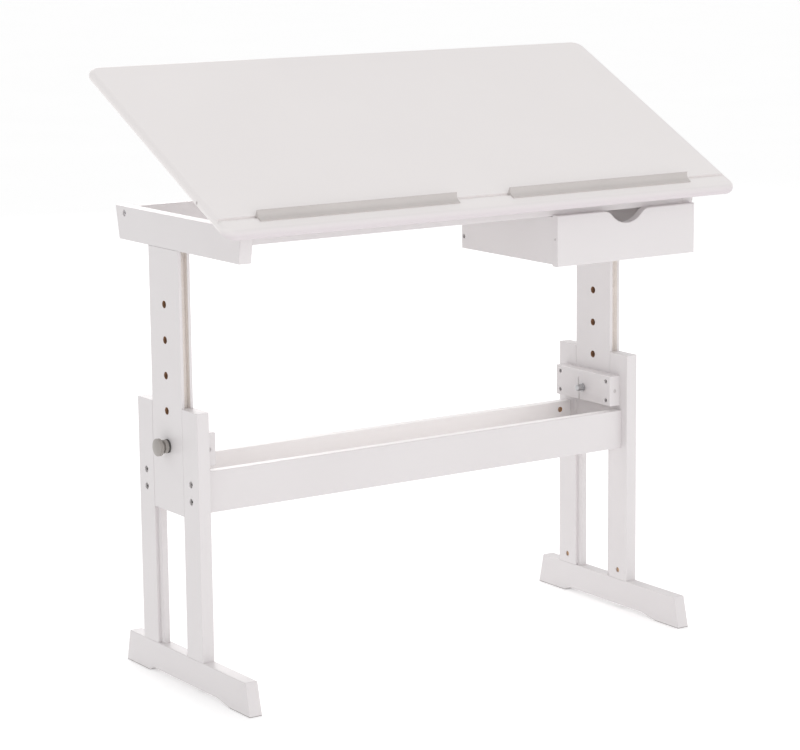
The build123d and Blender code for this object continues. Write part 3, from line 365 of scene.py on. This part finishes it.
@dataclass(frozen=True)
class BoredLacquer(Lacquer):
    """Lacquer on a board whose cross holes and edge grooves are left as bare wood, with painted shade on
    one groove wall.
    """

    bare: Colour = (0.36, 0.20, 0.11)
    pale: Colour = (0.95, 0.915, 0.885)
    first_hole: tuple[float, float] = (0.0, 0.0)
    pitch: float = 0.0632
    holes: int = 5
    bore: float = 0.0065
    groove_half: float = 0.0061
    groove_floor: float = 0.0
    plies: float = 0.0
    flecks: Colour = (0.18, 0.095, 0.05)
    streaks: Colour = (0.88, 0.83, 0.79)
    saw_marks: Colour = (0.80, 0.74, 0.70)
    # Painted shade: the colour of the groove's wall on the negative X side.
    groove_wall_painted_shade: Colour = (0.50, 0.39, 0.33)
    wall_in: float = 0.0006
    wall_half: float = 0.0007

    def build(self, graph: Graph) -> bpy.types.Material:
        """Builds the lacquer, then bare wood within the bores and the grooves.

        Args:
            graph: An empty graph with its shader.

        Returns:
            The finished material.
        """
        super().build(graph)
        parts = graph.add("SeparateXYZ")
        graph.links.new(graph.place(), parts.inputs["Vector"])
        off_y = graph.sums("SUBTRACT", parts.outputs["Y"], self.first_hole[0])
        up = graph.sums("SUBTRACT", parts.outputs["Z"], self.first_hole[1])
        off_z = graph.sums("WRAP", up, self.pitch / 2, -self.pitch / 2)
        away = graph.sums("SQRT", graph.sums(
            "ADD", graph.sums("POWER", off_y, 2.0), graph.sums("POWER", off_z, 2.0)
        ))
        bored = graph.sums("LESS_THAN", away, self.bore + BARE_PAST_BORE)
        in_row = graph.sums("COMPARE", up, (self.holes - 1) * self.pitch / 2, self.holes * self.pitch / 2)
        bored = graph.sums("MULTIPLY", bored, in_row)
        fibres = graph.noise(graph.place(Grain.UPRIGHT.value), 700.0, 4.0, 0.7)
        wood = graph.blend(graph.spread(fibres, 0.0, 0.7), self.bare, self.flecks)
        painted = graph.shader.inputs["Base Color"].links[0].from_socket
        grooved = self.grooved(graph, parts, off_y, painted)
        graph.feed(graph.shader, Base_Color=graph.blend(bored, grooved, wood))
        glossy = graph.shader.inputs["Roughness"].links[0].from_socket
        dull = graph.sums("MULTIPLY", bored, 0.4)
        graph.feed(graph.shader, Roughness=graph.sums("ADD", glossy, dull))
        return graph.material

    def grooved(self, graph: Graph, parts: Any, off_y: Any, painted: Any) -> Any:
        """Leaves the grooves in the board's two edges as pale bare wood, with painted shade on one wall.

        Args:
            graph: The board's graph.
            parts: The node that splits the position.
            off_y: Distance in Y from the row of holes.
            painted: The lacquer's colour.

        Returns:
            The colour with the grooves' bare wood in it.
        """
        sideways = graph.sums("ABSOLUTE", parts.outputs["X"])
        between = graph.sums("COMPARE", sideways, self.plies, self.groove_half)
        deep = graph.sums("LESS_THAN", graph.sums("ABSOLUTE", off_y), self.groove_floor)
        streaks = graph.noise(graph.place(Grain.UPRIGHT.value), 420.0, 4.0, 0.65)
        saw_marks = graph.noise(graph.place((0.2, 0.2, 1.0)), 600.0, 2.0)
        wood = graph.blend(graph.spread(streaks, 0.0, 0.7), self.pale, self.streaks)
        wood = graph.blend(graph.spread(saw_marks, 0.0, 0.35), wood, self.saw_marks)
        # Painted shade on the groove's wall at negative X, a narrow strip given a darker wood colour.
        left_wall = -(self.plies + self.groove_half - self.wall_in)
        wall = graph.sums("COMPARE", parts.outputs["X"], left_wall, self.wall_half)
        wood = graph.blend(wall, wood, self.groove_wall_painted_shade)
        return graph.blend(graph.sums("MULTIPLY", between, deep), painted, wood)


@dataclass(frozen=True)
class DowelledLacquer(Lacquer):
    """Lacquer on a trough board, with painted light on its inside face, and bare bores for cross dowels
    at both ends.
    """

    bare: Colour = (0.50, 0.27, 0.11)
    # Painted light: a brighter white for the inside face, to read as brightly lit.
    inside_painted_light: Colour = (0.95, 0.925, 0.92)
    middle: float = 0.07642
    inner_face: float = 0.0865
    out: float = 0.436
    heights: tuple[float, ...] = (0.34408, 0.37513)
    bore: float = 0.005

    def build(self, graph: Graph) -> bpy.types.Material:
        """Builds the lacquer, then painted light on the inside face and bare wood within the bores.

        Args:
            graph: An empty graph with its shader.

        Returns:
            The finished material.
        """
        super().build(graph)
        parts = graph.add("SeparateXYZ")
        graph.links.new(graph.place(), parts.inputs["Vector"])
        off_x = graph.sums("SUBTRACT", graph.sums("ABSOLUTE", parts.outputs["X"]), self.out)
        squared = graph.sums("POWER", off_x, 2.0)
        inside: Any = 0.0
        for height in self.heights:
            off_z = graph.sums("SUBTRACT", parts.outputs["Z"], height)
            away = graph.sums("SQRT", graph.sums("ADD", squared, graph.sums("POWER", off_z, 2.0)))
            here = graph.sums("LESS_THAN", away, self.bore + BARE_PAST_BORE)
            inside = graph.sums("MAXIMUM", here, inside)
        off_y = graph.sums("ABSOLUTE", graph.sums("SUBTRACT", parts.outputs["Y"], self.middle))
        trough_side = graph.sums("LESS_THAN", off_y, self.inner_face)
        painted = graph.shader.inputs["Base Color"].links[0].from_socket
        # Painted light on the inside face of the trough.
        white = graph.blend(trough_side, painted, self.inside_painted_light)
        bare = graph.sums("MULTIPLY", inside, trough_side)
        graph.feed(graph.shader, Base_Color=graph.blend(bare, white, self.bare))
        return graph.material


@dataclass(frozen=True)
class SoledLacquer(Lacquer):
    """Lacquer on a foot, with painted shade along its bottom millimetre where it meets the floor."""

    # Painted shade: the dark colour of the foot's bottom edge.
    sole_painted_shade: Colour = (0.30, 0.28, 0.27)
    sole_shade_height: float = 0.0010

    def build(self, graph: Graph) -> bpy.types.Material:
        """Builds the lacquer, then the painted shade along the bottom of the foot.

        Args:
            graph: An empty graph with its shader.

        Returns:
            The finished material.
        """
        super().build(graph)
        parts = graph.add("SeparateXYZ")
        graph.links.new(graph.place(), parts.inputs["Vector"])
        # Painted shade over the bottom millimetre of the foot.
        shaded_sole = graph.sums("LESS_THAN", parts.outputs["Z"], self.sole_shade_height)
        painted = graph.shader.inputs["Base Color"].links[0].from_socket
        graph.feed(graph.shader, Base_Color=graph.blend(shaded_sole, painted, self.sole_painted_shade))
        return graph.material


@dataclass(frozen=True)
class BareWood(Finish):
    """Unfinished close-grained hardwood, with short dark flecks."""

    dark: Colour = (0.30, 0.17, 0.09)
    grain: Grain = Grain.LENGTHWAYS

    def build(self, graph: Graph) -> bpy.types.Material:
        """Builds growth bands, fibres and flecks.

        Args:
            graph: An empty graph with its shader.

        Returns:
            The finished material.
        """
        along = graph.place(self.grain.value)
        bands = graph.noise(along, 70.0, 3.0, 0.55)
        fibres = graph.noise(along, 900.0, 4.0, 0.7)
        flecks = graph.noise(graph.place(tuple(part ** 0.6 for part in self.grain.value)), 420.0)
        tone = graph.blend(graph.spread(bands, 0.0, 0.8), self.colour, self.dark)
        tone = graph.blend(graph.spread(fibres, 0.0, 0.4), tone, self.dark)
        tone = graph.blend(graph.spread(flecks, 0.0, 0.7, (0.66, 0.72)), tone, self.dark)
        graph.feed(
            graph.shader,
            Base_Color=tone,
            Roughness=graph.spread(fibres, 0.62, 0.8),
            Normal=graph.relief(fibres, 0.0002, 0.35, graph.eased(0.0006)),
        )
        return graph.material


@dataclass(frozen=True)
class MouldedPlastic(Finish):
    """Injection-moulded plastic with a spark-eroded texture and a painted highlight along its edges."""

    gloss_from: float = 0.42
    gloss_to: float = 0.55
    texture: float = 0.3
    texture_scale: float = 1400.0

    def build(self, graph: Graph) -> bpy.types.Material:
        """Builds a fine pebble texture, faint flow clouds and a painted highlight along the edges.

        Args:
            graph: An empty graph with its shader.

        Returns:
            The finished material.
        """
        even = graph.place()
        flow = graph.noise(graph.place((0.3, 1.0, 1.0)), 22.0, 3.0)
        pebble = graph.noise(even, self.texture_scale, 2.0)
        eased = graph.eased(0.0006)
        darker = tuple(0.93 * part for part in self.colour)
        edge_highlight = tuple(min(1.0, 1.12 * part) for part in self.colour)
        tone = graph.blend(graph.spread(flow, 0.0, 1.0), self.colour, darker)
        # Painted highlight: the colour turns paler near the edges.
        tone = graph.blend(graph.spread(graph.edge_share(eased), 0.0, 0.6, (0.02, 0.3)), tone, edge_highlight)
        graph.feed(
            graph.shader,
            Base_Color=tone,
            Roughness=graph.spread(flow, self.gloss_from, self.gloss_to),
            Normal=graph.relief(pebble, 0.00005, self.texture, eased),
        )
        return graph.material


@dataclass(frozen=True)
class ZincSteel(Finish):
    """Bright zinc-plated steel with a drawn grain and cloudy plating."""

    grain: Grain = Grain.ACROSS
    dull: Colour = (0.32, 0.32, 0.33)

    def build(self, graph: Graph) -> bpy.types.Material:
        """Builds plating clouds and a drawn grain.

        Args:
            graph: An empty graph with its shader.

        Returns:
            The finished material.
        """
        drawn = graph.noise(graph.place(self.grain.value), 1500.0, 3.0, 0.6)
        clouds = graph.noise(graph.place(), 90.0, 3.0)
        tone = graph.blend(graph.spread(clouds, 0.0, 0.8), self.colour, self.dull)
        graph.feed(
            graph.shader,
            Base_Color=tone,
            Metallic=1.0,
            Roughness=graph.spread(drawn, 0.24, 0.42),
            Normal=graph.relief(drawn, 0.00003, 0.25, graph.eased(0.0004)),
        )
        return graph.material


WHITE: Colour = (0.735, 0.706, 0.711)
WHITE_UPRIGHT = Lacquer("white_lacquer_upright", WHITE, grain=Grain.UPRIGHT)
WHITE_ACROSS = Lacquer("white_lacquer_across", WHITE, grain=Grain.ACROSS)
WHITE_LENGTHWAYS = Lacquer("white_lacquer_lengthways", WHITE, grain=Grain.LENGTHWAYS)
FOOT_WHITE = SoledLacquer("white_lacquer_painted_sole_shade", WHITE, grain=Grain.LENGTHWAYS)
# Its inside face carries painted light.
TROUGH_WHITE = DowelledLacquer("white_lacquer_dowelled_painted_light", WHITE, grain=Grain.ACROSS)
# Painted light: a brighter white for the trough floor and the drawer's back and floor, to read as
# brightly lit inside.
INSIDE_PAINTED_LIGHT = Lacquer(
    "white_lacquer_painted_light_inside", (0.95, 0.925, 0.92), shade=(0.93, 0.90, 0.895), grain=Grain.ACROSS
)
LEDGE_GREY = MouldedPlastic("ledge_grey_plastic", (0.60, 0.565, 0.55))
KNOB_GREY = MouldedPlastic(
    "knob_grey_plastic", (0.36, 0.335, 0.315), gloss_from=0.3, gloss_to=0.42, texture=0.15
)
WASHER_BLACK = MouldedPlastic(
    "washer_black_rubber", (0.07, 0.066, 0.063), gloss_from=0.5, gloss_to=0.65
)
CAP_WHITE = MouldedPlastic(
    "cap_white_plastic", (0.78, 0.77, 0.77), gloss_from=0.2, gloss_to=0.3, texture=0.05
)
PLUG_GREY = MouldedPlastic("plug_grey_plastic", (0.60, 0.57, 0.57))
STEEL = ZincSteel("plated_steel", (0.62, 0.62, 0.63))
BOLT_DARK = ZincSteel("dull_zinc_bolts", (0.58, 0.565, 0.56), dull=(0.34, 0.33, 0.325))
BOLT_BRIGHT = ZincSteel("bright_zinc_bolts", (0.88, 0.87, 0.88), dull=(0.70, 0.69, 0.70))
DOWEL_BROWN = ZincSteel("browned_dowels", (0.55, 0.37, 0.24), dull=(0.36, 0.23, 0.14))
SCREW_DARK = ZincSteel("dark_zinc_screws", (0.20, 0.18, 0.17), dull=(0.09, 0.08, 0.075))
BEECH: Colour = (0.52, 0.34, 0.19)
BEECH_LENGTHWAYS = BareWood("bare_beech_lengthways", BEECH)
BEECH_ACROSS = BareWood("bare_beech_across", BEECH, grain=Grain.ACROSS)


@dataclass
class SubAssembly:
    """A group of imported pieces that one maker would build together."""

    frame: dict[str, Any]
    body: str

    def paint(self, finish: Finish, *nodes: str) -> None:
        """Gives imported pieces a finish.

        Args:
            finish: The finish.
            *nodes: The pieces' names.
        """
        for name in nodes:
            slots = self.frame["nodes"][name].data.materials
            slots.clear()
            slots.append(finish.material())
            log.info("%s: %s in %s", self.body, name, finish.name)

    def dress(self) -> None:
        """Gives every piece of the sub-assembly its finish."""
        raise NotImplementedError


@dataclass
class Base(SubAssembly):
    """Feet, posts, cross blocks and trough, with what screws them together."""

    body: str = "base"

    def dress(self) -> None:
        """Gives every piece of the base its finish."""
        for side in SIDES:
            self.paint(FOOT_WHITE, f"foot_{side}")
            self.paint(WHITE_LENGTHWAYS, f"cross_block_{side}")
            self.paint(WHITE_UPRIGHT, f"front_post_{side}", f"rear_post_{side}")
        self.paint(TROUGH_WHITE, "trough_front", "trough_rear")
        self.paint(INSIDE_PAINTED_LIGHT, "trough_floor")
        self.paint(BOLT_DARK, "base_bolts")
        self.paint(DOWEL_BROWN, "cross_dowels")
        self.paint(SCREW_DARK, "block_screws")
        self.paint(PLUG_GREY, "block_plugs")


@dataclass
class HeightLocks(SubAssembly):
    """The knobs outside the legs and the hubs with their bars inside."""

    body: str = "height_locks"

    def dress(self) -> None:
        """Gives every piece of the locks its finish."""
        for side in SIDES:
            self.paint(KNOB_GREY, f"lock_knob_{side}")
            self.paint(WASHER_BLACK, f"knob_washer_{side}")
            self.paint(STEEL, f"lock_bolt_{side}", f"lock_stud_{side}")
            self.paint(STEEL, f"lock_hub_{side}")
            self.paint(BOLT_DARK, f"tommy_bar_{side}")


@dataclass
class SlidingFrame(SubAssembly):
    """The boards that slide in the legs, the frame on them, the tilt racks and drawer hangers."""

    body: str = "frame"
    lock_height: float = 0.4305
    groove_skin: float = 0.0004

    def dress(self) -> None:
        """Gives every piece of the frame its finish."""
        low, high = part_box("sliding_board_left")
        bored = BoredLacquer(
            "white_lacquer_bored_painted_shade",
            WHITE,
            first_hole=((low[1] + high[1]) / 2, self.lock_height),
            groove_floor=(high[1] - low[1]) / 2 - self.groove_skin,
            plies=abs(low[0] + high[0]) / 2,
        )
        for side in SIDES:
            self.paint(bored, f"sliding_board_{side}")
            self.paint(WHITE_LENGTHWAYS, f"side_rail_{side}")
        self.paint(WHITE_ACROSS, "front_rail", "rear_rail")
        self.paint(WHITE_LENGTHWAYS, "prop_rails")
        self.paint(BEECH_LENGTHWAYS, "tilt_racks")
        self.paint(BEECH_ACROSS, "frame_dowels")
        self.paint(CAP_WHITE, "bolt_caps")
        self.paint(BOLT_BRIGHT, "frame_bolts")
        self.paint(STEEL, "hinge_bases", "drawer_hangers")


@dataclass
class TiltingBoard(SubAssembly):
    """The drawing board with its ledges, battens, hinge leaves and prop brackets."""

    body: str = "tabletop"

    def dress(self) -> None:
        """Gives every piece of the board its finish."""
        # Painted light: the board is given a brighter white than the other white lacquer, so that its top
        # reads as brightly lit; its front edge carries painted shade.
        face = RoundedLacquer(
            "drawing_board_lacquer_painted_light_and_shade",
            (0.865, 0.830, 0.824),
            shade=(0.84, 0.805, 0.80),
            grain=Grain.ACROSS,
            gloss_from=0.56,
            gloss_to=0.66,
            grain_depth=0.04,
            front_low=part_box("drawing_board")[0][2],
        )
        self.paint(face, "drawing_board")
        self.paint(LEDGE_GREY, "pencil_ledge_left", "pencil_ledge_right")
        self.paint(PLUG_GREY, "edge_plugs")
        self.paint(WHITE_LENGTHWAYS, "board_battens")
        self.paint(STEEL, "hinge_leaves", "hinge_pins", "prop_brackets", "prop_pins")


@dataclass
class Prop(SubAssembly):
    """The folding prop that holds the board up."""

    body: str = "prop"

    def dress(self) -> None:
        """Gives every piece of the prop its finish."""
        self.paint(BEECH_LENGTHWAYS, "prop_arms")
        self.paint(BEECH_ACROSS, "prop_stretcher")
        self.paint(STEEL, "prop_foot_bar")


@dataclass
class Drawer(SubAssembly):
    """The hanging drawer."""

    body: str = "drawer"

    def dress(self) -> None:
        """Gives every piece of the drawer its finish."""
        self.paint(WHITE_ACROSS, "drawer_front")
        # Painted light on the drawer's back and floor.
        self.paint(INSIDE_PAINTED_LIGHT, "drawer_back", "drawer_floor")
        self.paint(WHITE_LENGTHWAYS, "drawer_side_left", "drawer_side_right")
        self.paint(BEECH_LENGTHWAYS, "hanger_strips")
        self.paint(SCREW_DARK, "drawer_screws")
        self.paint(PLUG_GREY, "front_pins")


@dataclass
class Studio:
    """The pale floor, the soft light and the camera."""

    floor_half: float = 60.0
    floor_drop: float = 0.0004
    floor_colour: Colour = (0.93, 0.93, 0.93)
    floor_glow: float = 0.24
    sky_strength: float = 0.81
    camera_at: Point = (-2.7318, -4.0121, 1.4161)
    camera_yaw: float = 0.5905
    camera_dip: float = 0.1835
    camera_roll: float = -0.0102
    lens: float = 121.17
    sensor: float = 36.0
    far: float = 300.0
    target: Point = (0.0, 0.0, 0.6)
    lamp_colour: Colour = (1.0, 0.985, 0.985)
    lamps: dict[str, tuple[Point, float, float]] = field(
        default_factory=lambda: {
            "key": ((0.5, -4.6, 2.6), 2.6, 22.0),
            "low": ((-0.6, -2.9, 0.85), 1.2, 5.0),
            "rear": ((1.2, 4.9, 3.3), 3.0, 95.0),
        }
    )

    def build(self) -> None:
        """Builds the whole studio."""
        self.lay_floor()
        self.light()
        self.aim_camera()

    def lay_floor(self) -> None:
        """Lays a wide, flat, pale floor just under the feet."""
        mesh = bpy.data.meshes.new("studio_floor")
        shape = bmesh.new()
        bmesh.ops.create_grid(shape, x_segments=8, y_segments=8, size=self.floor_half)
        shape.to_mesh(mesh)
        shape.free()
        floor = bpy.data.objects.new("studio_floor", mesh)
        floor.location.z = -self.floor_drop
        bpy.context.scene.collection.objects.link(floor)
        graph = Graph("studio_floor")
        clouds = graph.noise(graph.place(), 1.3, 3.0)
        dim = tuple(0.985 * part for part in self.floor_colour)
        graph.feed(
            graph.shader,
            Base_Color=graph.blend(graph.spread(clouds, 0.0, 1.0), self.floor_colour, dim),
            Roughness=0.85,
            Specular_IOR_Level=0.1,
            Emission_Color=(1.0, 1.0, 1.0, 1.0),
            Emission_Strength=self.floor_glow,
        )
        mesh.materials.append(graph.material)

    def light(self) -> None:
        """Sets the white surround and the large soft lamps."""
        world = bpy.data.worlds.new("studio_surround")
        bpy.context.scene.world = world
        world.use_nodes = True
        surround = world.node_tree.nodes["Background"]
        surround.inputs["Color"].default_value = (1.0, 1.0, 1.0, 1.0)
        surround.inputs["Strength"].default_value = self.sky_strength
        for name, (place, size, power) in self.lamps.items():
            lamp = bpy.data.lights.new(name, "AREA")
            lamp.shape = "SQUARE"
            lamp.size = size
            lamp.energy = power
            lamp.color = self.lamp_colour
            holder = bpy.data.objects.new(name, lamp)
            holder.location = place
            facing = Vector(self.target) - Vector(place)
            holder.rotation_euler = facing.to_track_quat("-Z", "Y").to_euler()
            bpy.context.scene.collection.objects.link(holder)
        view = bpy.context.scene.view_settings
        view.view_transform = "Standard"
        view.look = "None"

    def aim_camera(self) -> None:
        """Places the camera from its heading, dip and roll."""
        data = bpy.data.cameras.new("studio_camera")
        data.lens = self.lens
        data.sensor_width = self.sensor
        data.clip_end = self.far
        camera = bpy.data.objects.new("studio_camera", data)
        camera.matrix_world = (
            Matrix.Translation(self.camera_at)
            @ Matrix.Rotation(-self.camera_yaw, 4, "Z")
            @ Matrix.Rotation(math.pi / 2 - self.camera_dip, 4, "X")
            @ Matrix.Rotation(self.camera_roll, 4, "Z")
        )
        bpy.context.scene.collection.objects.link(camera)
        bpy.context.scene.camera = camera


def main() -> None:
    """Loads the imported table, dresses each sub-assembly and sets up the studio."""
    logging.basicConfig(level=logging.INFO, format="%(name)s %(message)s")
    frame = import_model()
    for assembly in (Base, HeightLocks, SlidingFrame, TiltingBoard, Prop, Drawer):
        assembly(frame).dress()
        log.info("%s done", assembly.__name__)
    Studio().build()


if __name__ == "__main__":
    main()
